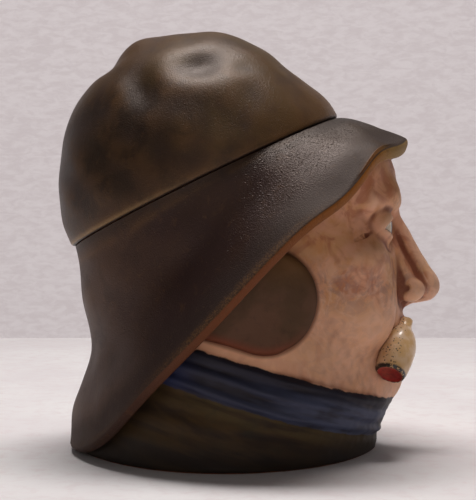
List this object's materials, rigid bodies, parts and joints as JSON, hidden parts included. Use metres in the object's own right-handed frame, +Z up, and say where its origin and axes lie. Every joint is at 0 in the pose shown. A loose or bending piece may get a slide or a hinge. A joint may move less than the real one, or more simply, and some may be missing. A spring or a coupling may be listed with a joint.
{
  "type": "tobacco jar",
  "caption": "Painted terracotta tobacco jar shaped as a seafarer's head in a storm hat, whose crown lifts off as the lid.",
  "frame": {"origin": "centre of the oval underside that the jar rests on", "axes": "+X the way the figure faces, +Y to its left, +Z up"},
  "size_m": [0.1354, 0.1212, 0.1473],
  "materials": {
    "painted_jar": "semi-matt cold paint on terracotta, flesh, dark blue, dark green and brown",
    "painted_lid": "semi-matt dark olive-brown paint on terracotta"
  },
  "bodies": {
    "root": {"jar_body": "painted_jar", "lid": "painted_lid"}
  },
  "joints": []
}
